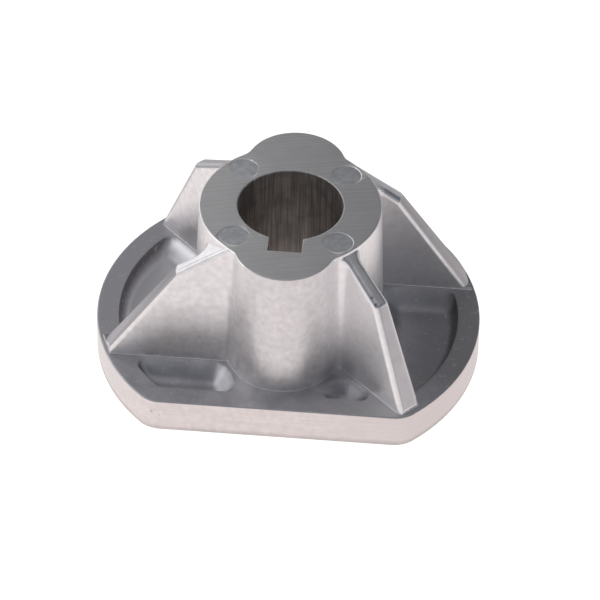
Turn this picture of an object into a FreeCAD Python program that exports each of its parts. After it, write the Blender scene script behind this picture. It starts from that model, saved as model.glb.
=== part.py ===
"""Mower blade adapter: an aluminium die casting that carries a blade on a keyed crankshaft.

Frame: Z is the crankshaft's axis and points up from the blade, the origin is on that axis at the
underside, and the keyway faces -Y. The casting repeats when it is turned half a turn about Z,
apart from the keyway, so a rib or a pocket is drawn once on the right and copied to the left.
"""
import FreeCAD, Part
import math
import os
import Sketcher

# Driving dimensions, in millimetres and degrees
SIZES = {
    "base_radius": 46.0,
    "base_across_flats": 69.2,
    "base_corner_radius": 7.0,
    "seat_edge_chamfer": 0.3,
    "rim_height": 9.0,
    "rim_width": 5.2,
    "rim_edge_chamfer": 0.25,
    "floor_thickness": 5.0,
    "pocket_ledge": 0.4,
    "pocket_draft": 10.0,
    "pocket_corner_radius": 2.0,
    "pocket_root_radius": 4.8,
    "pocket_wall_lean": 20.0,
    "hub_height": 43.0,
    "column_radius": 21.6,
    "lobe_radius": 12.0,
    "lobe_offset": 15.0,
    "lobe_blend_radius": 4.0,
    "casting_draft": 2.0,
    "root_depth": 2.0,
    "bore_diameter": 25.0,
    "bore_chamfer": 0.2,
    "keyway_width": 8.0,
    "keyway_depth": 4.3,
    "rib_thickness": 6.2,
    "rib_flare_radius": 1.2,
    "rib_top_inset": 1.3,
    "rib_kink_height": 34.6,
    "rib_toe_height": 0.6,
    "rib_edge_radius": 1.5,
    "side_rib_offset": 15.8,
    "side_rib_lobe_flare": 1.2,
    "side_rib_kink": 25.4,
    "side_rib_end_inset": 0.8,
    "corner_rib_angle": 45.0,
    "corner_rib_kink": 33.6,
    "corner_rib_end_inset": 1.2,
    "mark_diameter": 7.0,
    "mark_circle_radius": 17.25,
    "mark_depth": 0.2,
}

# Ejector pin marks on the hub's top, evenly spaced and starting between the axes
MARK_COUNT = 4
MARK_START = "45"

# Depth and opening angle of a rib's root arcs, which lie just under the hub's skin
ROOT_COVER = "0.05"
ROOT_WRAP = "20"

# The hub's cones and the ribs are rooted a little below the rim, and spread by the casting draft.
# A crest is rounded on both edges, by at most a share of the half width that the draft leaves it.
FOOT_HEIGHT = "(Sizes.rim_height - Sizes.root_depth)"
HUB_RISE = f"(Sizes.hub_height - {FOOT_HEIGHT})"
HUB_SPREAD = f"{HUB_RISE} * tan(Sizes.casting_draft)"
COLUMN_FOOT = f"(Sizes.column_radius + {HUB_SPREAD})"
LOBE_FOOT = f"(Sizes.lobe_radius + {HUB_SPREAD})"
HALF_RIB = "Sizes.rib_thickness / 2"
CREST_WIDTH = "4 * Sizes.rib_thickness"
CREST_SHARE = "0.85"
CREST_FALL = "0.18 * (Sizes.hub_height - Sizes.rib_kink_height)"
CREST_ROUND = f"min(Sizes.rib_edge_radius; {CREST_SHARE} * ({HALF_RIB} - {HUB_SPREAD}); {CREST_FALL})"
SIDE_RIB_TOP = "(sqrt(Sizes.column_radius ^ 2 - Sizes.side_rib_offset ^ 2) - Sizes.rib_top_inset)"
CORNER_RIB_TOP = "(Sizes.column_radius - Sizes.rib_top_inset)"
SIDE_RIB_END = "(Sizes.base_radius - Sizes.side_rib_end_inset)"
CORNER_RIB_END = "(Sizes.base_radius - Sizes.corner_rib_end_inset)"
HALF_FLATS = "Sizes.base_across_flats / 2"
POCKET_RADIUS = "(Sizes.base_radius - Sizes.rim_width)"
POCKET_FLAT = f"({HALF_FLATS} - Sizes.rim_width)"
WALL_RADIUS = f"({LOBE_FOOT} + Sizes.pocket_ledge)"

# Tolerances of the tests that find edges: heights, lengths, the cosine of a smooth join, a crest's rise
EXACT = 1e-4
NEAR = 0.1
SMOOTH = 0.99
SLOPING = (0.1, 0.99)

CENTRE = (-1, 1)
UP = FreeCAD.Vector(0, 0, 1)
START, END, MIDDLE = range(1, 4)

doc = FreeCAD.newDocument("mower_blade_adapter")


def make_sheet():
    """Puts the driving dimensions into the spreadsheet that every feature reads."""
    sheet = doc.addObject("Spreadsheet::Sheet", "Sizes")
    for row, (alias, size) in enumerate(SIZES.items(), start=1):
        sheet.set(f"A{row}", alias)
        sheet.set(f"B{row}", str(size))
        sheet.setAlias(f"B{row}", alias)
    doc.recompute()


def value_of(formula):
    """Works out a formula of the spreadsheet, to start a sketch near its solution."""
    found = doc.Sizes.evalExpression(formula)
    return float(getattr(found, "Value", found))


def origin_part(body, role):
    """Finds a plane or an axis of the body's own origin."""
    return next(item for item in body.Origin.OriginFeatures if item.Role == role)


def new_sketch(body, name, role="XY_Plane", height=None):
    """Adds a sketch on an origin plane, moved along the plane's normal by a formula."""
    sketch = body.newObject("Sketcher::SketchObject", name)
    sketch.AttachmentSupport = [(origin_part(body, role), "")]
    sketch.MapMode = "FlatFace"
    if height:
        sketch.setExpression("AttachmentOffset.Base.z", height)
    return sketch


def turn_sketch(sketch, axis, formula):
    """Turns a sketch about an axis of its plane by an angle of the spreadsheet."""
    sketch.AttachmentOffset = FreeCAD.Placement(FreeCAD.Vector(), FreeCAD.Rotation(axis, 1.0))
    sketch.setExpression("AttachmentOffset.Rotation.Angle", formula)


def line(start, end):
    return Part.LineSegment(FreeCAD.Vector(*start, 0), FreeCAD.Vector(*end, 0))


def circle(centre, radius):
    return Part.Circle(FreeCAD.Vector(*centre, 0), UP, radius)


def arc(centre, radius, start, end):
    """An arc that runs anticlockwise between two angles in radians."""
    return Part.ArcOfCircle(circle(centre, radius), start, end)


def rule(sketch, kind, *where):
    """Adds a constraint without a size."""
    sketch.addConstraint(Sketcher.Constraint(kind, *where))


def size(sketch, formula, kind, *where):
    """Adds a constraint whose size is a formula of the spreadsheet."""
    start = value_of(formula)
    if kind == "Angle":
        start = math.radians(start)
        formula = f"({formula}) * 1 deg"
    index = sketch.addConstraint(Sketcher.Constraint(kind, *where, start))
    sketch.setExpression(f"Constraints[{index}]", formula)


def close_loop(sketch, joints):
    """Joins the ends of curves, given as pairs of a curve and its end."""
    for first, second in joints:
        rule(sketch, "Coincident", *first, *second)


def level_line(sketch, curve, formula):
    """Holds a line level at a height above the sketch's centre."""
    rule(sketch, "Horizontal", curve)
    size(sketch, formula, "DistanceY", *CENTRE, curve, START)


def feature(body, kind, name, sketch=None, **formulas):
    """Adds a feature to the body, with its sizes tied to the spreadsheet."""
    item = body.newObject(kind, name)
    if sketch:
        item.Profile = sketch
    for key, formula in formulas.items():
        item.setExpression(key, formula)
    return item


def repeat(body, name, originals, count=2):
    """Copies features evenly about the crankshaft's axis."""
    pattern = body.newObject("PartDesign::PolarPattern", name)
    pattern.Originals = originals
    pattern.Axis = (origin_part(body, "Z_Axis"), [""])
    pattern.Angle = 360
    pattern.Occurrences = count
    body.Tip = pattern
    doc.recompute()
    return pattern


def edges_where(item, test):
    """Names the edges of a feature that pass a test."""
    return [f"Edge{number}" for number, edge in enumerate(item.Shape.Edges, start=1) if test(edge)]


def dress(body, kind, name, test, formula):
    """Rounds or bevels the edges of the body's last feature that pass a test."""
    base = body.Tip
    edges = edges_where(base, test)
    item = body.newObject(kind, name)
    item.Base = (base, edges)
    item.setExpression("Size" if kind == "PartDesign::Chamfer" else "Radius", formula)
    doc.recompute()
    return item


def draft(body, name, test, formula, level):
    """Leans the faces of the body's last feature that pass a test, and keeps their outline at a level."""
    base = body.Tip
    plane = body.newObject("PartDesign::Plane", f"{name}_level")
    plane.AttachmentSupport = [(origin_part(body, "XY_Plane"), "")]
    plane.MapMode = "FlatFace"
    plane.setExpression("AttachmentOffset.Base.z", level)
    doc.recompute()
    faces = [f"Face{number}" for number, face in enumerate(base.Shape.Faces, start=1) if test(face)]
    item = body.newObject("PartDesign::Draft", name)
    item.Base = (base, faces)
    item.NeutralPlane = (plane, [""])
    item.setExpression("Angle", formula)
    doc.recompute()
    return item


def spans(part, low, high):
    """Tells whether an edge or a face reaches from one height to another."""
    return abs(part.BoundBox.ZMin - low) < EXACT and abs(part.BoundBox.ZMax - high) < EXACT


def lies_at(edge, height):
    return spans(edge, height, height)


def far_from_axis(edge):
    """Gives the distance of an edge's upper end from the crankshaft's axis."""
    top = max(edge.Vertexes, key=lambda vertex: vertex.Z)
    return math.hypot(top.X, top.Y)


def clear_of_axis(face):
    return all(math.hypot(vertex.X, vertex.Y) > NEAR for vertex in face.Vertexes)


def middle_of(edge):
    return edge.valueAt((edge.FirstParameter + edge.LastParameter) / 2)


def normals_at(shape, edge):
    """Gives the outward normals of the two faces that meet in the middle of an edge."""
    point = middle_of(edge)
    faces = shape.ancestorsOfType(edge, Part.Face)
    return [face.normalAt(*face.Surface.parameter(point)) for face in faces]


def sharp(shape, edge):
    """Tells whether two faces meet at an edge without running into each other smoothly."""
    first, second = normals_at(shape, edge)
    return abs(first.dot(second)) < SMOOTH


def on_crest(shape, edge, hub):
    """Tells whether an edge bounds a rib's sloping crest, outside the hub and short of the rib's end."""
    point = middle_of(edge)
    short = math.hypot(point.x, point.y) < value_of("Sizes.base_radius - Sizes.rib_thickness")
    rise = max(normal.z for normal in normals_at(shape, edge))
    return short and SLOPING[0] < rise < SLOPING[1] and not hub.isInside(point, NEAR, False)


def draw_base(sketch):
    """A disc with two flats."""
    radius = value_of("Sizes.base_radius")
    flat = value_of(HALF_FLATS)
    reach = math.sqrt(radius ** 2 - flat ** 2)
    lift = math.asin(flat / radius)
    sketch.addGeometry([
        arc((0, 0), radius, -lift, lift),
        line((reach, flat), (-reach, flat)),
        arc((0, 0), radius, math.pi - lift, math.pi + lift),
        line((-reach, -flat), (reach, -flat)),
    ])
    close_loop(sketch, [((0, END), (1, START)), ((1, END), (2, START)),
                        ((2, END), (3, START)), ((3, END), (0, START))])
    rule(sketch, "Coincident", 0, MIDDLE, *CENTRE)
    rule(sketch, "Coincident", 2, MIDDLE, *CENTRE)
    size(sketch, "Sizes.base_radius", "Radius", 0)
    rule(sketch, "Equal", 0, 2)
    level_line(sketch, 1, HALF_FLATS)
    level_line(sketch, 3, f"-{HALF_FLATS}")


def draw_side_pocket(sketch):
    """The large pocket on the right, between a side rib and a corner rib."""
    rim = value_of(POCKET_RADIUS)
    hub_formula = f"{COLUMN_FOOT} + Sizes.pocket_ledge"
    hub = value_of(hub_formula)
    top_formula = f"Sizes.side_rib_offset - {HALF_RIB} - Sizes.pocket_ledge"
    top = value_of(top_formula)
    gap_formula = f"{HALF_RIB} + Sizes.pocket_ledge"
    gap = value_of(gap_formula)
    slant = math.radians(value_of("Sizes.corner_rib_angle"))

    def low_angle(radius):
        return math.asin(gap / radius) - slant

    def on(radius, angle):
        return radius * math.cos(angle), radius * math.sin(angle)

    rim_low, rim_high = low_angle(rim), math.asin(top / rim)
    hub_low, hub_high = low_angle(hub), math.asin(top / hub)
    sketch.addGeometry([
        arc((0, 0), rim, rim_low, rim_high),
        line(on(rim, rim_high), on(hub, hub_high)),
        arc((0, 0), hub, hub_low, hub_high),
        line(on(hub, hub_low), on(rim, rim_low)),
    ])
    close_loop(sketch, [((0, END), (1, START)), ((1, END), (2, END)),
                        ((2, START), (3, START)), ((3, END), (0, START))])
    rule(sketch, "Coincident", 0, MIDDLE, *CENTRE)
    rule(sketch, "Coincident", 2, MIDDLE, *CENTRE)
    size(sketch, POCKET_RADIUS, "Radius", 0)
    size(sketch, hub_formula, "Radius", 2)
    level_line(sketch, 1, top_formula)
    size(sketch, "-Sizes.corner_rib_angle", "Angle", 3)
    size(sketch, gap_formula, "Distance", *CENTRE, 3)


def wall_point(height, side):
    """Where a pocket's wall, leaning on a lobe's foot, crosses a height; side is +1 at the back."""
    lean = math.radians(value_of("Sizes.pocket_wall_lean"))
    rise = side * height - value_of("Sizes.lobe_offset")
    return (value_of(WALL_RADIUS) - rise * math.sin(lean)) / math.cos(lean), height


def hold_wall(sketch, wall, foot, side):
    """Ties a pocket's wall to the foot circle of a lobe."""
    rule(sketch, "PointOnObject", foot, MIDDLE, -2)
    size(sketch, f"{side} * Sizes.lobe_offset", "DistanceY", *CENTRE, foot, MIDDLE)
    size(sketch, WALL_RADIUS, "Radius", foot)
    rule(sketch, "Tangent", wall, foot)
    size(sketch, f"{-side} * (90 - Sizes.pocket_wall_lean)", "Angle", wall)


def draw_back_pocket(sketch):
    """The pocket behind a side rib, up to the back flat."""
    rim = value_of(POCKET_RADIUS)
    flat = value_of(POCKET_FLAT)
    rib_formula = f"Sizes.side_rib_offset + {HALF_RIB} + Sizes.pocket_ledge"
    rib = value_of(rib_formula)
    rim_low, rim_high = math.asin(rib / rim), math.asin(flat / rim)
    sketch.addGeometry([
        arc((0, 0), rim, rim_low, rim_high),
        line((rim * math.cos(rim_high), flat), wall_point(flat, 1)),
        line(wall_point(flat, 1), wall_point(rib, 1)),
        line(wall_point(rib, 1), (rim * math.cos(rim_low), rib)),
    ])
    sketch.addGeometry(circle((0, value_of("Sizes.lobe_offset")), value_of(WALL_RADIUS)), True)
    close_loop(sketch, [((0, END), (1, START)), ((1, END), (2, START)),
                        ((2, END), (3, START)), ((3, END), (0, START))])
    rule(sketch, "Coincident", 0, MIDDLE, *CENTRE)
    size(sketch, POCKET_RADIUS, "Radius", 0)
    level_line(sketch, 1, POCKET_FLAT)
    level_line(sketch, 3, rib_formula)
    hold_wall(sketch, 2, 4, 1)


def draw_front_pocket(sketch):
    """The small pocket in front of a corner rib, up to the front flat."""
    flat = -value_of(POCKET_FLAT)
    gap_formula = f"{HALF_RIB} + Sizes.pocket_ledge"
    gap = value_of(gap_formula)
    slant = math.radians(value_of("Sizes.corner_rib_angle"))
    rib_end = ((-flat * math.cos(slant) - gap) / math.sin(slant), flat)
    wall_end = wall_point(flat, -1)
    wall_run = math.radians(90 - value_of("Sizes.pocket_wall_lean"))
    # The wall and the rib's foot meet where the triangle over the front edge closes
    edge = rib_end[0] - wall_end[0]
    wall_length = edge * math.sin(slant) / math.sin(math.pi - slant - wall_run)
    back = (wall_end[0] + wall_length * math.cos(wall_run), flat + wall_length * math.sin(wall_run))
    sketch.addGeometry([
        line(back, rib_end),
        line(rib_end, wall_end),
        line(wall_end, back),
    ])
    sketch.addGeometry(circle((0, -value_of("Sizes.lobe_offset")), value_of(WALL_RADIUS)), True)
    close_loop(sketch, [((0, END), (1, START)), ((1, END), (2, START)), ((2, END), (0, START))])
    size(sketch, "-Sizes.corner_rib_angle", "Angle", 0)
    size(sketch, gap_formula, "Distance", *CENTRE, 0)
    level_line(sketch, 1, f"-{POCKET_FLAT}")
    hold_wall(sketch, 2, 3, -1)


def draw_rib(sketch, middle, lobe, lobe_flare, side, end):
    """A rib's plan: two parallel sides that flare into the column on one side and a lobe on the other.

    middle is the rib's distance from the sketch's centre, lobe is the lobe's place as two formulas, and
    side is +1 where the lobe lies on the rib's left, seen from the hub.
    """
    column_flare = "Sizes.rib_flare_radius"
    column_line = f"{middle} - {side} * {HALF_RIB}"
    lobe_line = f"{middle} + {side} * {HALF_RIB}"
    column_skin = f"{COLUMN_FOOT} - {ROOT_COVER}"
    lobe_skin = f"{LOBE_FOOT} - {ROOT_COVER}"
    column_turn = value_of(column_flare)
    lobe_turn = value_of(lobe_flare)
    wrap = side * math.radians(value_of(ROOT_WRAP))
    lobe_x, lobe_y = value_of(lobe[0]), value_of(lobe[1])

    column_y = value_of(column_line) - side * column_turn
    column_x = math.sqrt((value_of(column_skin) + column_turn) ** 2 - column_y ** 2)
    column_way = math.atan2(column_y, column_x)
    flare_y = value_of(lobe_line) + side * lobe_turn
    flare_x = lobe_x + math.sqrt((value_of(lobe_skin) + lobe_turn) ** 2 - (flare_y - lobe_y) ** 2)
    lobe_way = math.atan2(flare_y - lobe_y, flare_x - lobe_x)

    def between(centre, radius, first, last):
        """An arc from one angle to another, whichever side of the rib it is on."""
        return arc(centre, radius, *((first, last) if side > 0 else (last, first)))

    def polar(centre, radius, angle):
        return centre[0] + radius * math.cos(angle), centre[1] + radius * math.sin(angle)

    column_end = polar((0, 0), value_of(column_skin), column_way - wrap)
    lobe_end = polar((lobe_x, lobe_y), value_of(lobe_skin), lobe_way + wrap)
    reach = value_of(end)
    sides = [value_of(formula) for formula in (column_line, lobe_line)]
    corners = [(math.sqrt(reach ** 2 - height ** 2), height) for height in sides]
    quarter = side * math.pi / 2
    sketch.addGeometry([
        line(corners[0], (column_x, value_of(column_line))),
        between((column_x, column_y), column_turn, quarter, column_way + side * math.pi),
        between((0, 0), value_of(column_skin), column_way - wrap, column_way),
        line(column_end, (0, 0)),
        line((0, 0), lobe_end),
        between((lobe_x, lobe_y), value_of(lobe_skin), lobe_way, lobe_way + wrap),
        between((flare_x, flare_y), lobe_turn, lobe_way - side * math.pi, -quarter),
        line((flare_x, value_of(lobe_line)), corners[1]),
        line(corners[1], corners[0]),
    ])
    sketch.addGeometry(circle((0, 0), reach), True)
    first, last = (START, END) if side > 0 else (END, START)
    rule(sketch, "Tangent", 0, END, 1, first)
    rule(sketch, "Tangent", 1, last, 2, last)
    rule(sketch, "Tangent", 5, first, 6, first)
    rule(sketch, "Tangent", 6, last, 7, START)
    close_loop(sketch, [((2, first), (3, START)), ((3, END), (4, START)), ((4, END), (5, last)),
                        ((7, END), (8, START)), ((8, END), (0, START))])
    rule(sketch, "Coincident", 3, END, *CENTRE)
    rule(sketch, "Coincident", 2, MIDDLE, *CENTRE)
    rule(sketch, "Coincident", 9, MIDDLE, *CENTRE)
    rule(sketch, "PointOnObject", 8, START, 9)
    rule(sketch, "PointOnObject", 8, END, 9)
    size(sketch, end, "Radius", 9)
    level_line(sketch, 0, column_line)
    level_line(sketch, 7, lobe_line)
    size(sketch, column_flare, "Radius", 1)
    size(sketch, lobe_flare, "Radius", 6)
    size(sketch, column_skin, "Radius", 2)
    size(sketch, lobe_skin, "Radius", 5)
    size(sketch, lobe[0], "DistanceX", *CENTRE, 5, MIDDLE)
    size(sketch, lobe[1], "DistanceY", *CENTRE, 5, MIDDLE)
    size(sketch, ROOT_WRAP, "Angle", 2)
    size(sketch, ROOT_WRAP, "Angle", 5)


def draw_crest_cut(sketch, top, kink, end):
    """The space above a rib: a short shoulder, a kink and a steep slope down to the rim's edge.

    The shoulder leaves the hub's top at the distance top, and its line goes on above the hub.
    """
    toe = "Sizes.rim_height + Sizes.rib_toe_height"
    past = f"{end} + Sizes.rib_thickness"
    above = "2 * Sizes.hub_height - Sizes.rib_kink_height"
    corners = [(f"2 * {top} - {kink}", above), (kink, "Sizes.rib_kink_height"), (end, toe),
               (past, toe), (past, above)]
    points = [(value_of(across), value_of(height)) for across, height in corners]
    for number, point in enumerate(points):
        sketch.addGeometry(line(point, points[(number + 1) % len(points)]))
    for number, (across, height) in enumerate(corners):
        rule(sketch, "Coincident", number, END, (number + 1) % len(corners), START)
        size(sketch, across, "DistanceX", *CENTRE, number, START)
        size(sketch, height, "DistanceY", *CENTRE, number, START)


def add_rib(body, name, plan):
    """Raises a rib from its plan to the hub's top."""
    rib = feature(body, "PartDesign::Pad", name, plan, Length=HUB_RISE)
    doc.recompute()
    return rib


def cut_crest(body, name, cut):
    """Cuts the space above a rib."""
    crest = feature(body, "PartDesign::Pocket", name, cut, Length=CREST_WIDTH)
    crest.SideType = "Symmetric"
    doc.recompute()
    return crest


def build_ribs(hub):
    """The four ribs: one beside each lobe, parallel to the flats, and one out to each of two corners."""
    body = doc.addObject("PartDesign::Body", "ribs")
    body.AllowCompound = True
    side_plan = new_sketch(body, "side_rib_plan", height=FOOT_HEIGHT)
    draw_rib(side_plan, "Sizes.side_rib_offset", ("0", "Sizes.lobe_offset"), "Sizes.side_rib_lobe_flare",
             1, SIDE_RIB_END)
    side_cut = new_sketch(body, "side_rib_crest_line", "XZ_Plane", "-Sizes.side_rib_offset")
    draw_crest_cut(side_cut, SIDE_RIB_TOP, "Sizes.side_rib_kink",
                   f"sqrt({SIDE_RIB_END} ^ 2 - Sizes.side_rib_offset ^ 2)")
    corner_plan = new_sketch(body, "corner_rib_plan", height=FOOT_HEIGHT)
    turn_sketch(corner_plan, UP, "-Sizes.corner_rib_angle")
    lobe = ("Sizes.lobe_offset * sin(Sizes.corner_rib_angle)",
            "-Sizes.lobe_offset * cos(Sizes.corner_rib_angle)")
    draw_rib(corner_plan, "0", lobe, "Sizes.rib_flare_radius", -1, CORNER_RIB_END)
    corner_cut = new_sketch(body, "corner_rib_crest_line", "XZ_Plane")
    turn_sketch(corner_cut, FreeCAD.Vector(0, 1, 0), "-Sizes.corner_rib_angle")
    draw_crest_cut(corner_cut, CORNER_RIB_TOP, "Sizes.corner_rib_kink", CORNER_RIB_END)
    doc.recompute()
    repeat(body, "ribs_pair", [add_rib(body, "side_rib", side_plan),
                               add_rib(body, "corner_rib", corner_plan)])
    foot = value_of(FOOT_HEIGHT)
    top = value_of("Sizes.hub_height")
    draft(body, "rib_draft", lambda face: spans(face, foot, top) and clear_of_axis(face),
          "Sizes.casting_draft", FOOT_HEIGHT)
    repeat(body, "crests_pair", [cut_crest(body, "side_rib_crest", side_cut),
                                 cut_crest(body, "corner_rib_crest", corner_cut)])
    dress(body, "PartDesign::Fillet", "rib_edges", lambda edge: on_crest(body.Tip.Shape, edge, hub),
          CREST_ROUND)
    return body


def build_base(body):
    """The flanged base: a disc with two flats, rounded corners and six pockets in its top."""
    outline = new_sketch(body, "base_outline")
    draw_base(outline)
    feature(body, "PartDesign::Pad", "base", outline, Length="Sizes.rim_height")
    doc.recompute()
    rim = value_of("Sizes.rim_height")
    floor = value_of("Sizes.floor_thickness")
    dress(body, "PartDesign::Fillet", "base_corners", lambda edge: spans(edge, 0, rim),
          "Sizes.base_corner_radius")
    dress(body, "PartDesign::Chamfer", "rim_edge", lambda edge: lies_at(edge, rim),
          "Sizes.rim_edge_chamfer")
    dress(body, "PartDesign::Chamfer", "seat_edge", lambda edge: lies_at(edge, 0),
          "Sizes.seat_edge_chamfer")
    pockets = []
    for name, draw in (("side_pocket", draw_side_pocket), ("back_pocket", draw_back_pocket),
                       ("front_pocket", draw_front_pocket)):
        sketch = new_sketch(body, f"{name}_outline", height="Sizes.rim_height")
        draw(sketch)
        doc.recompute()
        pockets.append(feature(body, "PartDesign::Pocket", name, sketch,
                               Length="Sizes.rim_height - Sizes.floor_thickness"))
        doc.recompute()
    repeat(body, "pockets_pair", pockets)
    draft(body, "pocket_walls", lambda face: spans(face, floor, rim), "Sizes.pocket_draft",
          "Sizes.rim_height")
    inner = value_of(POCKET_FLAT) - NEAR
    dress(body, "PartDesign::Fillet", "pocket_roots",
          lambda edge: spans(edge, floor, rim) and far_from_axis(edge) < inner,
          "Sizes.pocket_root_radius")
    dress(body, "PartDesign::Fillet", "pocket_corners",
          lambda edge: spans(edge, floor, rim) and sharp(body.Tip.Shape, edge),
          "Sizes.pocket_corner_radius")


def build_hub(body):
    """The hub: a drafted column with a lobe at the front and one at the back."""
    column = feature(body, "PartDesign::AdditiveCone", "column", Radius1=COLUMN_FOOT,
                     Radius2="Sizes.column_radius", Height=HUB_RISE)
    lobe = feature(body, "PartDesign::AdditiveCone", "lobe", Radius1=LOBE_FOOT,
                   Radius2="Sizes.lobe_radius", Height=HUB_RISE)
    for cone in (column, lobe):
        cone.AttachmentSupport = [(origin_part(body, "XY_Plane"), "")]
        cone.MapMode = "FlatFace"
        cone.setExpression("AttachmentOffset.Base.z", FOOT_HEIGHT)
    lobe.setExpression("AttachmentOffset.Base.y", "-Sizes.lobe_offset")
    doc.recompute()
    repeat(body, "lobes_pair", [lobe])
    rim = value_of("Sizes.rim_height")
    top = value_of("Sizes.hub_height")
    dress(body, "PartDesign::Fillet", "lobe_blends",
          lambda edge: spans(edge, rim, top) and sharp(body.Tip.Shape, edge), "Sizes.lobe_blend_radius")


def join_ribs(body, ribs):
    """Makes the ribs one with the hub and the base."""
    joined = body.newObject("PartDesign::Boolean", "ribs_on_hub")
    joined.setObjects([ribs])
    joined.Type = "Fuse"
    doc.recompute()


def build_bore(body):
    """The crankshaft's bore, with its two edges broken."""
    sketch = new_sketch(body, "bore_outline", height="Sizes.hub_height")
    sketch.addGeometry(circle((0, 0), value_of("Sizes.bore_diameter / 2")))
    rule(sketch, "Coincident", 0, MIDDLE, *CENTRE)
    size(sketch, "Sizes.bore_diameter", "Diameter", 0)
    bore = feature(body, "PartDesign::Pocket", "bore", sketch)
    bore.Type = "ThroughAll"
    doc.recompute()
    mouth = value_of("Sizes.bore_diameter") * math.pi
    dress(body, "PartDesign::Chamfer", "bore_edges",
          lambda edge: edge.isClosed() and abs(edge.Length - mouth) < NEAR, "Sizes.bore_chamfer")


def build_keyway(body):
    """The slot for the crankshaft's key, along the front of the bore."""
    sketch = new_sketch(body, "keyway_outline", height="Sizes.hub_height")
    reach = "Sizes.bore_diameter / 2 + Sizes.keyway_depth"
    half_width = value_of("Sizes.keyway_width / 2")
    bottom = -value_of(reach)
    corners = [(half_width, 0), (-half_width, 0), (-half_width, bottom), (half_width, bottom)]
    for number, corner in enumerate(corners):
        sketch.addGeometry(line(corner, corners[(number + 1) % len(corners)]))
    for number in range(len(corners)):
        rule(sketch, "Coincident", number, END, (number + 1) % len(corners), START)
    rule(sketch, "Horizontal", 0)
    rule(sketch, "Vertical", 1)
    rule(sketch, "Vertical", 3)
    rule(sketch, "Symmetric", 0, START, 0, END, *CENTRE)
    size(sketch, "-Sizes.keyway_width", "DistanceX", 0, START, 0, END)
    level_line(sketch, 2, f"-({reach})")
    keyway = feature(body, "PartDesign::Pocket", "keyway", sketch)
    keyway.Type = "ThroughAll"
    doc.recompute()


def build_marks(body):
    """The shallow round marks that the ejector pins leave on the hub's top."""
    sketch = new_sketch(body, "mark_outline", height="Sizes.hub_height")
    place = [f"Sizes.mark_circle_radius * {wave}({MARK_START})" for wave in ("cos", "sin")]
    sketch.addGeometry(circle([value_of(part) for part in place], value_of("Sizes.mark_diameter / 2")))
    size(sketch, "Sizes.mark_diameter", "Diameter", 0)
    size(sketch, place[0], "DistanceX", *CENTRE, 0, MIDDLE)
    size(sketch, place[1], "DistanceY", *CENTRE, 0, MIDDLE)
    mark = feature(body, "PartDesign::Pocket", "ejector_mark", sketch, Length="Sizes.mark_depth")
    doc.recompute()
    repeat(body, "ejector_marks", [mark], MARK_COUNT)


def check_document(body):
    """Stops before anything is written if a feature failed, cut nothing or left a poor solid."""
    for item in doc.Objects:
        if "Invalid" in item.State or "Error" in item.State:
            raise RuntimeError(f"{item.Name} failed: {item.getStatusString()}")
        if item.TypeId.startswith("Sketcher") and not item.FullyConstrained:
            raise RuntimeError(f"{item.Name} is not fully constrained")
        if item.TypeId == "PartDesign::Body" and not item.Shape.isValid():
            raise RuntimeError(f"{item.Label} is not a valid shape")
        base = getattr(item, "BaseFeature", None)
        if base and item.TypeId == "PartDesign::Pocket" and item.Shape.Volume >= base.Shape.Volume:
            raise RuntimeError(f"{item.Name} cuts nothing")
    if body.Shape.isNull() or not body.Shape.isValid() or len(body.Shape.Solids) != 1:
        raise RuntimeError(f"{body.Label} is not one valid solid")


make_sheet()
adapter = doc.addObject("PartDesign::Body", "blade_adapter")
build_base(adapter)
build_hub(adapter)
join_ribs(adapter, build_ribs(adapter.Tip.Shape))
build_bore(adapter)
build_keyway(adapter)
build_marks(adapter)
check_document(adapter)
os.makedirs("parts", exist_ok=True)
adapter.Shape.exportStep(f"parts/{adapter.Label}.step")
print(f"{adapter.Label}: {adapter.Shape.Volume / 1000:.2f} cubic centimetres")
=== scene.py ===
# %% [markdown]
# # Mower blade adapter
# A blade adapter is one aluminium casting. Its bore slides over the end of a mower's crankshaft, a key
# in the slot makes it turn with the shaft, and the blade is clamped under its base. The CAD model has
# the whole shape, so this lesson softens its pockets and edges, gives every surface the finish that
# casting and machining leave, and lights it as a plain studio picture.

import math

import bmesh
import bpy
from mathutils import Matrix, Vector
from mathutils.geometry import delaunay_2d_cdt


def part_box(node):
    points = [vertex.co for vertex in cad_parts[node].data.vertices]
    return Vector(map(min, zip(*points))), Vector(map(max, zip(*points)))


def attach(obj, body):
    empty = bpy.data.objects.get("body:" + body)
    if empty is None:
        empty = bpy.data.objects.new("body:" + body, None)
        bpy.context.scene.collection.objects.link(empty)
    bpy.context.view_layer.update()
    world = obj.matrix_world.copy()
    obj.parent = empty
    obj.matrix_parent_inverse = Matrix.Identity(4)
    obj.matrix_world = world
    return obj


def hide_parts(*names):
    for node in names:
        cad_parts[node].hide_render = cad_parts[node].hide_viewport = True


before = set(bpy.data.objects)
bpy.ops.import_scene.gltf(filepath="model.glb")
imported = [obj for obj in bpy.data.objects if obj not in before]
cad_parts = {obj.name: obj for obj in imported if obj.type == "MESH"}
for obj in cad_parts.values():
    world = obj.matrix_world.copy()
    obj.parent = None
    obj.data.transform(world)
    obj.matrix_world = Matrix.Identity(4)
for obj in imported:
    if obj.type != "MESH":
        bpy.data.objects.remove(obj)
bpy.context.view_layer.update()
MM = 0.001
low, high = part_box("blade_adapter")
print("casting, in mm:", [round(length / MM, 1) for length in high - low])

# %% [markdown]
# ## One clean mesh
# No cast edge is truly sharp: the die's own edges are worn round, and a machined edge gets a fine burr
# that catches the light. Rounding needs true edges, but the CAD mesh is loose triangles, so a copy is
# merged first and its flat areas become single faces again. A bevel modifier could round all edges alike.
# The bevel operator lets the feet of the ribs, the hub's top and the other edges have rounds of their own,
# and the burr its own finish.

# %% Merge a copy of the CAD mesh
MERGE = 0.002 * MM
FLAT = math.radians(0.4)

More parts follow.
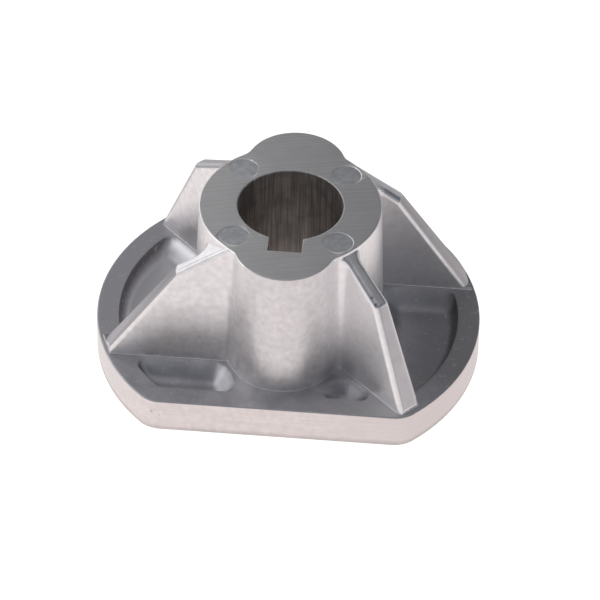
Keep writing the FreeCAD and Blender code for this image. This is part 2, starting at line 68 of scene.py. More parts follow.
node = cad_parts["blade_adapter"]
form = bmesh.new()
form.from_mesh(node.data)
bmesh.ops.remove_doubles(form, verts=form.verts, dist=MERGE)
bmesh.ops.dissolve_limit(form, angle_limit=FLAT, verts=form.verts, edges=form.edges)
print("merged casting:", len(form.verts), "points,", len(form.faces), "faces")

# %% [markdown]
# ## Places of the finishes
# The one casting shows as-cast skin, milled and turned metal, a machined bore and dull low ground. Cutting
# it into pieces would leave seams, and painting needs an unwrapped mesh. Instead each face gets a number
# from where it lies and which way it faces, and that number later picks its finish.

# %% Heights, radii and numbers of the finishes
hub_top = high.z
kink_height = 33.5 * MM
rim_top = 9.0 * MM
pocket_floor = 5.0 * MM
pin_depth = 0.3 * MM
bore_radius = 12.5 * MM
bore_mouth = 0.5 * MM
keyway_half = 4.0 * MM
keyway_end = -16.8 * MM
side_radius = 44.0 * MM
side_flat = high.y - 2.0 * MM

SKIN, SLOPE, CREST, BASIN, MILLED, BURR, PIN, SIDE, BORED, SEAT = range(10)
LEVEL, SLOPING, UPRIGHT = 0.9, 0.38, 0.3
NEAR = 0.06 * MM
print("hub top, in mm:", round(hub_top / MM, 2))

# %% Number the faces


def in_bore(point):
    """Tells whether a point lies on the bore or in the keyway."""
    in_keyway = abs(point.x) < keyway_half + NEAR and keyway_end - NEAR < point.y < 0
    return in_keyway or point.xy.length < bore_radius + bore_mouth


def finish_of(face):
    """Tells which finish a face of the casting has, from where it lies and faces."""
    spot = face.calc_center_median()
    rise = face.normal.z
    outside = spot.xy.length > side_radius or abs(spot.y) > side_flat
    if rise > LEVEL and spot.z > hub_top - NEAR:
        return MILLED
    if rise > LEVEL and spot.z > hub_top - pin_depth:
        return PIN
    if rise < -LEVEL and spot.z < NEAR:
        return SEAT
    if all(in_bore(vert.co) for vert in face.verts):
        return BORED
    if abs(rise) < UPRIGHT and spot.z < rim_top and outside:
        return SIDE
    if spot.z < rim_top + NEAR:
        return BASIN
    if rise < SLOPING:
        return SKIN
    return CREST if spot.z > kink_height else SLOPE


for face in form.faces:
    face.material_index = finish_of(face)
    face.smooth = True
counts = [sum(face.material_index == number for face in form.faces) for number in range(SEAT + 1)]
print("faces by finish:", counts)

# %% [markdown]
# ## Scooped pockets
# A die's core has rounded corners, so that molten metal flows round it and the casting comes off. The
# pockets are therefore soft scoops: steep at the outer wall, gentle towards the hub and the ribs. Each
# one's faces are taken out, and a fine net is hung in its outline, at a depth that comes from the distance
# to the walls. That holds in the narrow corners too, where a wide bevel would cross itself.

# %% Follow a pocket's faces and outline


def at_height(edge, height):
    """Tells whether an edge lies level at a height."""
    return all(abs(vert.co.z - height) < NEAR for vert in edge.verts)


def next_floor():
    """Gives the flat floor of a pocket that isn't scooped yet."""
    return next(face for face in form.faces
                if face.material_index == BASIN and face.normal.z > LEVEL
                and len(face.verts) > 3 and face.calc_center_median().z < pocket_floor + NEAR)


def pocket_of(floor):
    """Gives the faces of a pocket: its floor, and all that hangs on it below the rim."""
    region = [floor]
    for face in region:
        for edge in face.edges:
            if not at_height(edge, rim_top):
                region.extend(other for other in edge.link_faces if other not in region)
    return region


def outline_of(region):
    """Gives the points round a pocket in order."""
    edges = [edge for face in region for edge in face.edges if at_height(edge, rim_top)]
    points = list(edges.pop().verts)
    while edges:
        following = next(edge for edge in edges if points[-1] in edge.verts)
        edges.remove(following)
        points.append(following.other_vert(points[-1]))
    return points[:-1]


first_outline = outline_of(pocket_of(next_floor()))
print("outline of one pocket:", len(first_outline), "points")

# %% Depth and net of a scoop
outer_radius = 40.3 * MM
outer_flat = 28.9 * MM
OUTER_REACH = 2.3 * MM
OUTER_CURVE = 2.5
INNER_REACH = 4.0 * MM
NET = 0.5 * MM
NET_MARGIN = 0.4 * NET


def gap(point, walls):
    """Gives the distance from a point to the nearest of some straight walls in plan."""
    nearest = INNER_REACH
    for start, end in walls:
        along = end - start
        share = (point - start).dot(along) / along.length_squared
        nearest = min(nearest, (start + along * max(0, min(1, share)) - point).length)
    return nearest


def is_outer(wall):
    """Tells whether a wall runs along the outside of the base."""
    middle = (wall[0] + wall[1]) / 2
    return middle.length > outer_radius or abs(middle.y) > outer_flat


def depth_at(point, outer, inner):
    """Gives a scoop's depth: it falls steeply from the outer walls and gently from the inner ones."""
    steep = min(1, gap(point, outer) / OUTER_REACH)
    soft = min(1, gap(point, inner) / INNER_REACH)
    share = (1 - (1 - steep) ** OUTER_CURVE) * soft * soft * (3 - 2 * soft)
    return share * (rim_top - pocket_floor)


def net_points(plan, walls):
    """Gives the points of a staggered grid over an outline, apart from those close to a wall."""
    left, front = (min(point[axis] for point in plan) for axis in (0, 1))
    right, back = (max(point[axis] for point in plan) for axis in (0, 1))
    grid = [Vector((left + (column + 0.5 * (row % 2)) * NET, front + row * NET))
            for row in range(1, int((back - front) / NET))
            for column in range(1, int((right - left) / NET))]
    return [point for point in grid if gap(point, walls) > NET_MARGIN]


print("net, in mm:", NET / MM)

# %% Scoop the pockets
POCKETS = 6
SOFTENINGS = 8
INSIDE_ONLY = 1
NET_PRECISION = 1e-6


def scoop(region):
    """Replaces a pocket's faces by a net hung in its outline and gives the number of new faces."""
    points = outline_of(region)
    bmesh.ops.delete(form, geom=region, context="FACES")
    plan = [vert.co.xy for vert in points]
    count = len(plan)
    walls = list(zip(plan, plan[1:] + plan[:1]))
    outer = [wall for wall in walls if is_outer(wall)]
    inner = [wall for wall in walls if not is_outer(wall)]
    plan += net_points(plan, walls)
    rounds = [(number, (number + 1) % count) for number in range(count)]
    _, _, nets, origins, _, _ = delaunay_2d_cdt([spot / MM for spot in plan], rounds, [],
                                                INSIDE_ONLY, NET_PRECISION)
    made = {}
    for net in nets:
        for number in net:
            origin = origins[number][0]
            if number not in made and origin < count:
                made[number] = points[origin]
            elif number not in made:
                height = rim_top - depth_at(plan[origin], outer, inner)
                made[number] = form.verts.new((*plan[origin], height))
        face = form.faces.new([made[number] for number in net])
        face.normal_update()
        face.material_index = BASIN
        face.smooth = True
    inside = [vert for vert in made.values() if vert not in points]
    for _ in range(SOFTENINGS):
        bmesh.ops.smooth_vert(form, verts=inside, factor=0.5, use_axis_z=True)
    return len(nets)


for number in range(POCKETS):
    print("pocket", number + 1, "has a net of", scoop(pocket_of(next_floor())), "faces")

# %% [markdown]
# ## Rounded edges
# The feet of the hub and the ribs run into the base in a small fillet. The mill leaves a slightly wider
# break round the hub's top, and its burr on the left of it. All other edges are only a little worn. The
# bevels run in that order, because each one finds its edges by their sharpness, and an edge that is
# already round isn't sharp any more.

# %% Round the edges
SHARP = math.radians(42)
FOOT_ROUND, BROW_ROUND, EDGE_ROUND = 0.18 * MM, 0.25 * MM, 0.12 * MM
brow_radius = 18.0 * MM
burr_end = -9.0 * MM


def sharp_edges(test):
    """Gives the edges of the casting that are sharper than its facetted curves and pass a test."""
    return [edge for edge in form.edges
            if edge.is_manifold and edge.calc_face_angle() > SHARP and test(edge)]


def round_edges(edges, width, segments):
    """Bevels edges of the casting to a width and gives the new faces."""
    result = bmesh.ops.bevel(form, geom=edges, offset=width, offset_type="OFFSET", affect="EDGES",
                             segments=segments, profile=0.5, material=-1, clamp_overlap=False)
    return result["faces"]


feet = sharp_edges(lambda edge: at_height(edge, rim_top) and not edge.is_convex)
round_edges(feet, FOOT_ROUND, segments=3)
brow = sharp_edges(lambda edge: at_height(edge, hub_top) and edge.verts[0].co.xy.length > brow_radius)
for face in round_edges(brow, BROW_ROUND, segments=2):
    if face.calc_center_median().x < burr_end:
        face.material_index = BURR
others = sharp_edges(lambda edge: edge.is_convex)
round_edges(others, EDGE_ROUND, segments=2)
print("edges rounded:", len(feet), "at feet,", len(brow), "round the hub's top,", len(others), "others")

# %% [markdown]
# ## The visible piece
# Where small bevels meet, slivers are left that would shade as dark flecks. Cut into triangles, the mesh
# can be welded and its flat slivers dissolved without losing a large face, and the count of open edges
# tells whether the casting is still closed. Weighted normals then let the large faces lead the shading, so
# that flats stay flat beside their rounds.

# %% Clean the mesh
WELD = 0.003 * MM
SLIVER = 0.002 * MM

bmesh.ops.triangulate(form, faces=form.faces, quad_method="BEAUTY", ngon_method="EAR_CLIP")
bmesh.ops.remove_doubles(form, verts=form.verts, dist=WELD)
bmesh.ops.dissolve_degenerate(form, dist=SLIVER, edges=form.edges)
stray = [face for face in form.faces if sum(edge.is_boundary for edge in face.edges) > 1]
bmesh.ops.delete(form, geom=stray, context="FACES")
bmesh.ops.triangulate(form, faces=form.faces)
bmesh.ops.recalc_face_normals(form, faces=form.faces)
for edge in form.edges:
    edge.smooth = not edge.is_manifold or edge.calc_face_angle() < SHARP
print("open edges:", sum(edge.is_boundary for edge in form.edges))

# %% Make the rounded casting the visible piece
casting = bpy.data.objects.new("casting", bpy.data.meshes.new("casting"))
form.to_mesh(casting.data)
form.free()
bpy.context.collection.objects.link(casting)
weights = casting.modifiers.new("even_shading", "WEIGHTED_NORMAL")
weights.keep_sharp = True
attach(casting, "root")
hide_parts("blade_adapter")
print("casting:", len(casting.data.polygons), "faces")

# %% [markdown]
# ## Helpers for the finishes
# Every finish is built from nodes, with patterns read from Object coordinates, so a pattern stays on the
# metal from every side and needs no unwrapped mesh. Short helpers keep the cells readable. Some add nodes
# and join them, some give patterns and places in millimetres, and the last ones put colour, roughness and
# relief on the shader.

# %% Helpers that add and join nodes


def new_finish(name, metal):
    """Starts a finish that is metal in part, the rest dull oxide, and gives it, its tree and its shader."""
    finish = bpy.data.materials.new(name)
    finish.use_nodes = True
    shader = finish.node_tree.nodes["Principled BSDF"]
    shader.inputs["Metallic"].default_value = metal
    return finish, finish.node_tree, shader


def add(tree, kind, **values):
    """Adds a node and sets its values: properties by their names, and sockets by all other names."""
    item = tree.nodes.new(f"ShaderNode{kind}")
    for key, value in values.items():
        if hasattr(item, key):
            setattr(item, key, value)
        else:
            item.inputs[key.replace("_", " ")].default_value = value
    return item


def feed(tree, value, socket):
    """Joins an output to a socket, or sets a plain value on it."""
    if isinstance(value, bpy.types.NodeSocket):
        tree.links.new(value, socket)
    else:
        socket.default_value = value


def compute(tree, operation, first, second=0.0):
    """Gives a sum, product or the like of two values, each a number or an output."""
    item = add(tree, "Math", operation=operation)
    feed(tree, first, item.inputs[0])
    feed(tree, second, item.inputs[1])
    return item.outputs[0]


def blend(tree, factor, first, second, kind="MIX"):
    """Mixes two colours, each a colour or an output, by a factor."""
    item = add(tree, "Mix", data_type="RGBA", blend_type=kind)
    factor_socket, colour_a, colour_b = item.inputs[0], item.inputs[6], item.inputs[7]
    feed(tree, factor, factor_socket)
    feed(tree, first, colour_a)
    feed(tree, second, colour_b)
    return item.outputs[2]


# %% Helpers for places and patterns


def place(tree, stretch=(1, 1, 1)):
    """Gives Object coordinates in millimetres, stretched along the axes."""
    scaled = add(tree, "Mapping", Scale=[each / MM for each in stretch])
    feed(tree, add(tree, "TexCoord").outputs["Object"], scaled.inputs["Vector"])
    return scaled.outputs["Vector"]


def axes(tree, where):
    """Gives the X, Y and Z of a place."""
    item = add(tree, "SeparateXYZ")
    feed(tree, where, item.inputs[0])
    return item.outputs


def distance(tree, where, centre=(0, 0, 0)):
    """Gives the distance of a place from a centre."""
    item = add(tree, "VectorMath", operation="DISTANCE")
    feed(tree, where, item.inputs[0])
    feed(tree, centre, item.inputs[1])
    return item.outputs["Value"]


def noise(tree, where, grain, detail=2.0, distortion=0.0):
    """Gives noise whose grain is a size in millimetres."""
    item = add(tree, "TexNoise", Scale=1.0 / grain, Detail=detail, Distortion=distortion)
    feed(tree, where, item.inputs["Vector"])
    return item.outputs["Fac"]


def spread(tree, value, start, end, first=0.0, last=1.0):
    """Gives a ramp that goes from a first to a last number while a value goes from start to end."""
    item = add(tree, "MapRange", From_Min=start, From_Max=end, To_Min=first, To_Max=last)
    feed(tree, value, item.inputs["Value"])
    return item.outputs["Result"]


def overlap(tree, first, *others):
    """Gives the product of masks: it is full only where all of them are."""
    for mask in others:
        first = compute(tree, "MULTIPLY", first, mask)
    return first


def pits(tree, where, spots):
    """Gives a mask of small round spots, each a centre and a radius in millimetres, with ragged edges."""
    ragged = compute(tree, "MULTIPLY", noise(tree, where, 0.4), 0.5)
    mask = 0.0
    for centre, radius in spots:
        near = compute(tree, "ADD", distance(tree, where, centre), ragged)
        mask = compute(tree, "MAXIMUM", spread(tree, near, radius + 0.35, radius + 0.1), mask)
    return mask


# %% Helpers that dress the shader


def dress(tree, shader, tint, roughness):
    """Puts a colour and a roughness on a shader, each a plain value or an output."""
    feed(tree, tint, shader.inputs["Base Color"])
    feed(tree, roughness, shader.inputs["Roughness"])


def relief(tree, shader, heights):
    """Chains bumps onto a shader, each a height pattern with a strength and a depth in millimetres."""
    normal = None
    for height, strength, depth in heights:
        bump = add(tree, "Bump", Strength=strength, Distance=depth * MM)
        feed(tree, height, bump.inputs["Height"])
        if normal:
            feed(tree, normal, bump.inputs["Normal"])
        normal = bump.outputs["Normal"]
    feed(tree, normal, shader.inputs["Normal"])


# %% [markdown]
# ## As-cast skin
# Most of the part keeps the skin that the die gave it: dull bright aluminium, mottled where release agent
# has baked on, with a fine grain that blurs every reflection. The skin is lighter towards the right and a
# little darker on the lobes and left of the column. Painted shade darkens the root of the front rib on the
# right. An image texture could show this, but masks from X, Y and a distance put each mark where it belongs.

# %% As-cast skin
skin, tree, shader = new_finish("as_cast_skin", 0.80)
where = place(tree)
x, y, _ = axes(tree, where)
from_middle = compute(tree, "ABSOLUTE", x)
from_front_to_back = compute(tree, "ABSOLUTE", y)
cloud = noise(tree, where, 7.0, 4.0)
mottle = noise(tree, where, 1.6, 6.0, 0.2)
grain = noise(tree, where, 0.3, 3.0)

bare, baked, cool = (0.86, 0.845, 0.85, 1), (0.72, 0.70, 0.70, 1), (0.78, 0.78, 0.80, 1)
tint = blend(tree, spread(tree, mottle, 0.32, 0.68), bare, baked)
tint = blend(tree, spread(tree, cloud, 0.45, 0.75, 0, 0.4), tint, cool)
lighter_right = spread(tree, x, 6, 14, 0, 0.4)
tint = blend(tree, lighter_right, tint, (0.95, 0.94, 0.95, 1))
on_lobes = overlap(tree, spread(tree, from_middle, 10, 7), spread(tree, from_front_to_back, 19, 22), 0.85)
tint = blend(tree, on_lobes, tint, (0.82, 0.815, 0.815, 1), "MULTIPLY")
left_of_column = overlap(tree, spread(tree, x, -10, -14), spread(tree, from_front_to_back, 12, 8))
tint = blend(tree, left_of_column, tint, (0.86, 0.86, 0.86, 1), "MULTIPLY")
# painted shade: the root of the front rib on the right is darkened
painted_root_shade = spread(tree, distance(tree, where, (13.7, -22.4, 9.5)), 5.5, 2.5, 0, 0.5)
tint = blend(tree, painted_root_shade, tint, (0.34, 0.33, 0.34, 1))
dress(tree, shader, tint, spread(tree, cloud, 0.3, 0.7, 0.34, 0.42))
relief(tree, shader, [(mottle, 0.2, 0.06), (grain, 0.25, 0.02)])
print("finish:", skin.name)

# %% [markdown]
# ## Rib crests
# Handling polishes the tops of the ribs, so they are smoother and cleaner than the skin beside them, and
# slightly wavy. The crest at the back on the left has stayed duller, and gas in the melt has left two pits
# in the front one on the right. A ramp along X and Y finds the one crest, and two distances find the pits.

# %% Rib crests
crest, tree, shader = new_finish("rib_crest", 0.92)
where = place(tree)
x, y, _ = axes(tree, where)
cloud = noise(tree, where, 2.5, 4.0)
grain = noise(tree, where, 0.3)

polished, worn = (0.86, 0.84, 0.845, 1), (0.74, 0.72, 0.725, 1)
tint = blend(tree, spread(tree, cloud, 0.3, 0.7), polished, worn)
back_left = overlap(tree, spread(tree, x, -8, -12), spread(tree, y, 5, 10))
tint = blend(tree, back_left, tint, (0.50, 0.50, 0.52, 1))
gas_pits = pits(tree, where, [((21.2, -23.0, 35.9), 0.3), ((22.2, -24.2, 34.9), 0.35)])
tint = blend(tree, gas_pits, tint, (0.20, 0.19, 0.20, 1))
dress(tree, shader, tint, 0.27)
relief(tree, shader, [(cloud, 0.3, 0.06), (grain, 0.35, 0.025)])
print("finish:", crest.name)

# %% [markdown]
# ## Rib slopes
# Below the kink the crests are duller, darker and bluer, and darker still on the left ribs. They could have
# a finish of their own, but a ramp along X does it in one.

# %% Rib slopes
slope, tree, shader = new_finish("rib_slope", 0.88)
where = place(tree)
x, _, _ = axes(tree, where)
cloud = noise(tree, where, 3.0, 4.0)
grain = noise(tree, where, 0.3)

pale_slope, mid_slope, dark_left_slope = (0.61, 0.595, 0.61, 1), (0.55, 0.54, 0.555, 1), (0.385, 0.385, 0.405, 1)
tint = blend(tree, spread(tree, cloud, 0.3, 0.7), pale_slope, mid_slope)
tint = blend(tree, spread(tree, x, -5, -15), tint, dark_left_slope)
dress(tree, shader, tint, 0.34)
relief(tree, shader, [(cloud, 0.2, 0.05), (grain, 0.25, 0.02)])
print("finish:", slope.name)

# %% [markdown]
# ## Rim and pockets
# The low parts of the base are duller, darker and a little blue. Painted shade darkens the right end. The
# left pocket has painted light, with a painted highlight on its ramp beside the rib, and the left end of the
# front pocket has a painted highlight, with painted shade left of it. Painted shade also lies under the
# outer walls of the pockets and at the root of the front rib on the right, and pale scuffs are all over.
# Every mark is a mask from X, Y, Z or a distance.

# %% Rim and pockets: ground colour and large areas
basin, tree, shader = new_finish("dull_base", 0.84)
where = place(tree)
x, y, z = axes(tree, where)
cloud = noise(tree, where, 5.0, 4.0, 0.4)
grain = noise(tree, where, 0.3)

pale_base, dark_base = (0.60, 0.59, 0.615, 1), (0.475, 0.465, 0.485, 1)
tint = blend(tree, spread(tree, cloud, 0.35, 0.7), pale_base, dark_base)
# painted shade: the right end of the rim and pockets is darkened
right_end = overlap(tree, spread(tree, x, 24, 34), spread(tree, y, -28, -18))
tint = blend(tree, right_end, tint, (0.375, 0.365, 0.38, 1))
front_right = overlap(tree, spread(tree, x, 8, 18), spread(tree, y, -28, -31))
tint = blend(tree, front_right, tint, (0.55, 0.545, 0.555, 1))
left_end = overlap(tree, spread(tree, x, -26, -32), spread(tree, y, -14, -8))
tint = blend(tree, left_end, tint, (0.50, 0.49, 0.515, 1))
print("started finish:", basin.name)

# %% Rim and pockets: inside the pockets
below_rim = spread(tree, z, 8.9, 7.5)
# painted light: the left pocket is brightened below the rim
tint = blend(tree, overlap(tree, left_end, below_rim), tint, (0.69, 0.68, 0.71, 1))
in_front = overlap(tree, spread(tree, y, -16, -19), below_rim)
# painted shade: the front pocket is darkened on its left
painted_front_shade = overlap(tree, spread(tree, x, -15, -18), in_front)
tint = blend(tree, painted_front_shade, tint, (0.90, 0.90, 0.91, 1), "MULTIPLY")
# painted highlight: the left end of the front pocket is lightened
painted_end_highlight = overlap(tree, spread(tree, x, -16, -14), spread(tree, x, -4, -8), in_front)
tint = blend(tree, painted_end_highlight, tint, (0.86, 0.86, 0.89, 1))
# painted highlight: a pale band on the left pocket's ramp beside the rib
beside_rib = spread(tree, compute(tree, "ADD", x, y), -10, -8)
painted_ramp_highlight = overlap(tree, beside_rib, spread(tree, x, -20, -23), spread(tree, z, 8.95, 8.3))
tint = blend(tree, painted_ramp_highlight, tint, (0.97, 0.96, 0.98, 1))

from_axis = distance(tree, place(tree, (1, 1, 0)))
from_front_to_back = compute(tree, "ABSOLUTE", y)
outer_wall = compute(tree, "MAXIMUM", spread(tree, from_axis, 38.9, 40.3),
                     spread(tree, from_front_to_back, 27.5, 28.9))
# painted shade: dark under the outer walls of the pockets
painted_wall_shade = overlap(tree, outer_wall, spread(tree, z, 8.95, 8.6))
tint = blend(tree, painted_wall_shade, tint, (0.24, 0.23, 0.235, 1))
# painted shade: the root of the front rib on the right is darkened
painted_root_shade = spread(tree, distance(tree, where, (12.6, -23.6, 9.0)), 4.5, 1.5, 0, 0.6)
tint = blend(tree, painted_root_shade, tint, (0.26, 0.25, 0.26, 1))
scuffs = spread(tree, noise(tree, where, 1.2, 4.0, 0.5), 0.60, 0.72, 0, 0.5)
tint = blend(tree, scuffs, tint, (0.74, 0.73, 0.74, 1))
dress(tree, shader, tint, 0.46)
relief(tree, shader, [(cloud, 0.2, 0.06), (grain, 0.2, 0.02)])
print("finish:", basin.name)

# %% [markdown]
# ## Milled hub top
# A face mill has skimmed the top of the hub flat, and left fine lines that curve very slightly, because
# the cutter's circle is much wider than the part. Noise in one dimension, read at the distance from a far
# point, gives such lines without drawing a single one.

# %% Milled hub top
milled, tree, shader = new_finish("milled_top", 1.0)
where = place(tree)
cutter_axis = (60, -260, 43)
turns = add(tree, "TexNoise", noise_dimensions="1D", Scale=2.4, Detail=4.0)
feed(tree, distance(tree, where, cutter_axis), turns.inputs["W"])
lines = turns.outputs["Fac"]
patch = noise(tree, where, 5.0, 3.0)

bright, plain, groove = (0.90, 0.88, 0.875, 1), (0.82, 0.80, 0.80, 1), (0.66, 0.645, 0.64, 1)
tint = blend(tree, spread(tree, patch, 0.3, 0.75), bright, plain)
tint = blend(tree, spread(tree, lines, 0.38, 0.66, 0, 0.6), tint, groove)
dress(tree, shader, tint, 0.34)
relief(tree, shader, [(lines, 0.2, 0.01)])
print("finish:", milled.name)

# %% [markdown]
# ## Burr
# The mill pushes a fine burr over the edge of the top. It is bare bright metal and far too narrow to show a
# pattern, so plain values on the shader are enough.

# %% Burr
burr, tree, shader = new_finish("bright_burr", 1.0)
dress(tree, shader, (0.97, 0.96, 0.95, 1), 0.28)
print("finish:", burr.name)

# %% [markdown]
# ## Ejector pin marks
# Four pins push the casting out of the die, and each leaves a round and slightly sunk print, bluer and less
# even than the milled face. The CAD model has the sunk shape, so one coarse noise does the rest.

# %% Ejector pin marks
pin, tree, shader = new_finish("pin_mark", 1.0)
patch = noise(tree, place(tree), 1.5, 3.0)
light, dark = (0.82, 0.825, 0.845, 1), (0.63, 0.635, 0.66, 1)
dress(tree, shader, blend(tree, spread(tree, patch, 0.3, 0.7), light, dark), 0.36)
relief(tree, shader, [(patch, 0.5, 0.15)])
print("finish:", pin.name)

# %% [markdown]
# ## Turned side of the base
# The side of the base is bright and carries faint level lines, so their noise is stretched along the level.
# Its two ends are duller, painted shade darkens its lower edge, and it has two small pits at the front on
# the left. The painted shade's edge is ragged because noise is added to the height.

# %% Turned side of the base
side, tree, shader = new_finish("turned_side", 0.9)
where = place(tree)
x, _, z = axes(tree, where)
lines = noise(tree, place(tree, (0.06, 0.06, 4.0)), 1.0, 4.0)
mottle = noise(tree, where, 1.6, 5.0, 0.2)

bright, plain, groove = (0.73, 0.69, 0.685, 1), (0.64, 0.60, 0.59, 1), (0.57, 0.53, 0.52, 1)
tint = blend(tree, spread(tree, mottle, 0.35, 0.7), bright, plain)
right_end, left_end = spread(tree, x, 5, 32), spread(tree, x, -32, -43)
tint = blend(tree, right_end, tint, (0.665, 0.625, 0.62, 1))
tint = blend(tree, left_end, tint, (0.635, 0.635, 0.625, 1))
# painted shade: the side darkens towards its lower edge
ragged_height = compute(tree, "ADD", z, noise(tree, where, 2.5, 4.0))
tint = blend(tree, spread(tree, ragged_height, 2.2, 0.9, 0, 0.8), tint, (0.42, 0.39, 0.37, 1))
tint = blend(tree, spread(tree, lines, 0.42, 0.68, 0, 0.5), tint, groove)
front_pits = pits(tree, where, [((-29.45, -34.3, 5.5), 0.35), ((-27.6, -34.6, 4.7), 0.2)])
tint = blend(tree, overlap(tree, front_pits, 0.6), tint, (0.30, 0.27, 0.27, 1))
dress(tree, shader, tint, 0.38)
relief(tree, shader, [(lines, 0.2, 0.02)])
print("finish:", side.name)

# %% [markdown]
# ## Bore and keyway
# The bore was machined and the keyway broached along the axis, so the noise of their streaks is stretched
# along Z. Oil has since left dark blotches on them, and the wall is browner with depth.

# %% Bore and keyway
bored, tree, shader = new_finish("bored_wall", 1.0)
where = place(tree)
_, _, z = axes(tree, where)
streaks = noise(tree, place(tree, (2.0, 2.0, 0.06)), 1.0, 3.0)
blotches = spread(tree, noise(tree, where, 4.0, 3.0, 0.3), 0.45, 0.62, 0, 0.45)

bright, dark, oil, brown = ((0.74, 0.71, 0.69, 1), (0.33, 0.31, 0.30, 1), (0.30, 0.295, 0.30, 1),
                            (0.86, 0.74, 0.67, 1))
tint = blend(tree, spread(tree, streaks, 0.3, 0.7), bright, dark)
tint = blend(tree, blotches, tint, oil)
tint = blend(tree, spread(tree, z, 24, 10, 0, 0.35), tint, brown)
dress(tree, shader, tint, 0.45)
relief(tree, shader, [(streaks, 0.2, 0.03)])
print("finish:", bored.name)

# %% [markdown]
# ## Blade seat
# The underside isn't in the picture. It is a plain flat face, so it gets a plain faced finish.

# %% Blade seat
seat, tree, shader = new_finish("blade_seat", 0.95)
patch = noise(tree, place(tree), 4.0, 3.0)
light, dark = (0.66, 0.63, 0.62, 1), (0.56, 0.53, 0.52, 1)
dress(tree, shader, blend(tree, spread(tree, patch, 0.3, 0.7), light, dark), 0.42)
print("finish:", seat.name)

# %% [markdown]
# ## Finishes on the casting
# The faces have had their numbers since the start, and the bevels passed them on to the rounds. The mesh
# only needs its list of finishes, in the order of those numbers.

# %% Put the finishes on the casting
for finish in (skin, slope, crest, basin, milled, burr, pin, side, bored, seat):
    casting.data.materials.append(finish)
print("finishes on the casting:", [finish.name for finish in casting.data.materials])

# %% [markdown]
# ## White floor
# Bare metal shows its surroundings, so the studio makes the picture. The part stands on white paper, which
# brightens every upright face. A brightly lit white floor would also bleach the part, so the paper glows
# fully only where it is seen, directly or in the metal, and lights the part with less. It glows less in the
# bore and behind the part too, where the real paper lies in shade.

# %% White floor
floor_radius = 3.0
floor_mesh = bmesh.new()
bmesh.ops.create_circle(floor_mesh, cap_ends=True, segments=96, radius=floor_radius)
floor = bpy.data.objects.new("floor", bpy.data.meshes.new("floor"))
floor_mesh.to_mesh(floor.data)
floor_mesh.free()
bpy.context.collection.objects.link(floor)
print("floor's radius, in m:", floor_radius)

# %% White paper
UNSEEN_GLOW = 0.65
paper = bpy.data.materials.new("white_paper")
paper.use_nodes = True
tree = paper.node_tree
tree.nodes.clear()
where = place(tree)
x, y, _ = axes(tree, where)
rays = add(tree, "LightPath")
by_camera = rays.outputs["Is Camera Ray"]
seen = UNSEEN_GLOW
for ray in ("Is Camera Ray", "Is Glossy Ray", "Is Transmission Ray"):
    seen = compute(tree, "MAXIMUM", rays.outputs[ray], seen)
out_of_bore = spread(tree, distance(tree, where), 15, 24, 0.25, 1.0)
to_right = spread(tree, x, -90, 70, 1.0, 0.92)
to_back = spread(tree, y, 28, 50, 1.0, 0.42)
even_to_camera = compute(tree, "MAXIMUM", by_camera, overlap(tree, to_right, to_back))

dull = add(tree, "BsdfDiffuse", Color=(0.45, 0.45, 0.45, 1))
glow = add(tree, "Emission")
feed(tree, overlap(tree, seen, out_of_bore, even_to_camera), glow.inputs["Strength"])
warm, white = (1.0, 0.925, 0.91, 1), (1, 1, 1, 1)
feed(tree, blend(tree, by_camera, warm, white), glow.inputs["Color"])
both = add(tree, "AddShader")
feed(tree, dull.outputs[0], both.inputs[0])
feed(tree, glow.outputs[0], both.inputs[1])
feed(tree, both.outputs[0], add(tree, "OutputMaterial").inputs["Surface"])
floor.data.materials.append(paper)
print("floor's finish:", paper.name)

# %% [markdown]
# ## Dim upper room
# Level faces of the metal show what is above, and they are grey in the picture, so the upper room is dim.
# It is palest low on the left, where the paper's far edge would show, and a grey ceiling is overhead. Walls
# and cards could be built, but a world that changes with direction does the same and casts no shadow.

# %% Dim upper room
room = bpy.data.worlds.new("studio_room")
bpy.context.scene.world = room
room.use_nodes = True
tree = room.node_tree
x, y, z = axes(tree, add(tree, "TexCoord").outputs["Generated"])
to_right = spread(tree, x, -0.6, 0.7)
to_back = spread(tree, y, -0.3, 0.6)
far_left, left_back = spread(tree, x, -0.5, -0.8), spread(tree, y, 0.25, 0.65)

back_wall = blend(tree, to_right, (0.088, 0.091, 0.098, 1), (0.066, 0.069, 0.075, 1))
front_wall = blend(tree, far_left, (0.12, 0.14, 0.17, 1), (0.75, 0.75, 0.77, 1))
upper_room = blend(tree, to_back, front_wall, back_wall)
upper_room = blend(tree, spread(tree, z, 0.72, 0.84), upper_room, (0.38, 0.385, 0.40, 1))
left_edge = blend(tree, left_back, (0.9, 0.9, 0.92, 1), (1.25, 1.25, 1.27, 1))
paper_edge = blend(tree, to_right, left_edge, (0.40, 0.41, 0.43, 1))
tint = blend(tree, spread(tree, z, 0.46, 0.30), upper_room, paper_edge)
backing = tree.nodes["Background"]
feed(tree, tint, backing.inputs["Color"])
feed(tree, 1.0, backing.inputs["Strength"])
print("room:", room.name)

# %% [markdown]
# ## Soft panels
# A large soft panel high on the left lights the ribs from the side and models their slopes. A small weak
# one behind the hub lifts the edges at the back. Point lamps would leave hard spots on the metal.

# %% Soft panels
panel_aim = Vector((0, 0, 0.02))


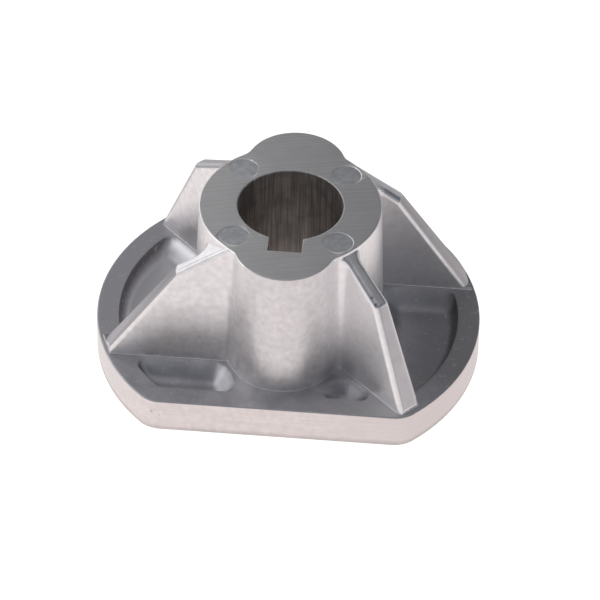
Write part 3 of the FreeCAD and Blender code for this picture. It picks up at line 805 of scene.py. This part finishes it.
def soft_panel(name, spot, size, power):
    """Adds a square soft light that faces the middle of the part."""
    lamp = bpy.data.lights.new(name, "AREA")
    lamp.shape = "SQUARE"
    lamp.size = size
    lamp.energy = power
    panel = bpy.data.objects.new(name, lamp)
    panel.location = spot
    panel.rotation_euler = (panel_aim - Vector(spot)).to_track_quat("-Z", "Y").to_euler()
    bpy.context.collection.objects.link(panel)
    print("panel:", name, size, "m wide,", power, "W")


soft_panel("left_panel", spot=(-0.68, 0.05, 0.60), size=0.55, power=0.75)
soft_panel("back_panel", spot=(-0.10, 0.20, 0.22), size=0.16, power=0.021)

# %% [markdown]
# ## The camera
# The picture looks down at the adapter from the front, from far off through a long lens, so the hub
# hardly shrinks upwards. The view is given by two angles, a small roll and the place of the hub's middle
# in the picture, because those can be read off a photograph and a camera's own place can't.

# %% Camera's view
IMAGE = 600
FOCAL = 5027.741
SENSOR = 36
DISTANCE = 1.2
turn, lift, roll = (math.radians(angle) for angle in (4.1, 41.593, 1.226))
aim = Vector((0, 0, 0.022))
seen_at = (289.253, 271.763)

back = Vector((math.sin(turn) * math.cos(lift), -math.cos(turn) * math.cos(lift), math.sin(lift)))
right = Vector((math.cos(turn), math.sin(turn), 0))
up = back.cross(right)
right, up = (math.cos(roll) * right + math.sin(roll) * up, math.cos(roll) * up - math.sin(roll) * right)
shift_right = (seen_at[0] - IMAGE / 2) / FOCAL * DISTANCE
shift_up = -(seen_at[1] - IMAGE / 2) / FOCAL * DISTANCE
print("aim's shift in the view, in mm:", round(shift_right / MM, 2), round(shift_up / MM, 2))

# %% Camera
lens = bpy.data.cameras.new("camera")
lens.sensor_width = SENSOR
lens.lens = SENSOR * FOCAL / IMAGE
camera = bpy.data.objects.new("camera", lens)
pose = Matrix((right, up, back)).transposed().to_4x4()
pose.translation = aim + back * DISTANCE - right * shift_right - up * shift_up
camera.matrix_world = pose
bpy.context.collection.objects.link(camera)
bpy.context.scene.camera = camera
bpy.context.scene.view_settings.view_transform = "Standard"
print("camera, in m:", [round(each, 3) for each in camera.matrix_world.translation])
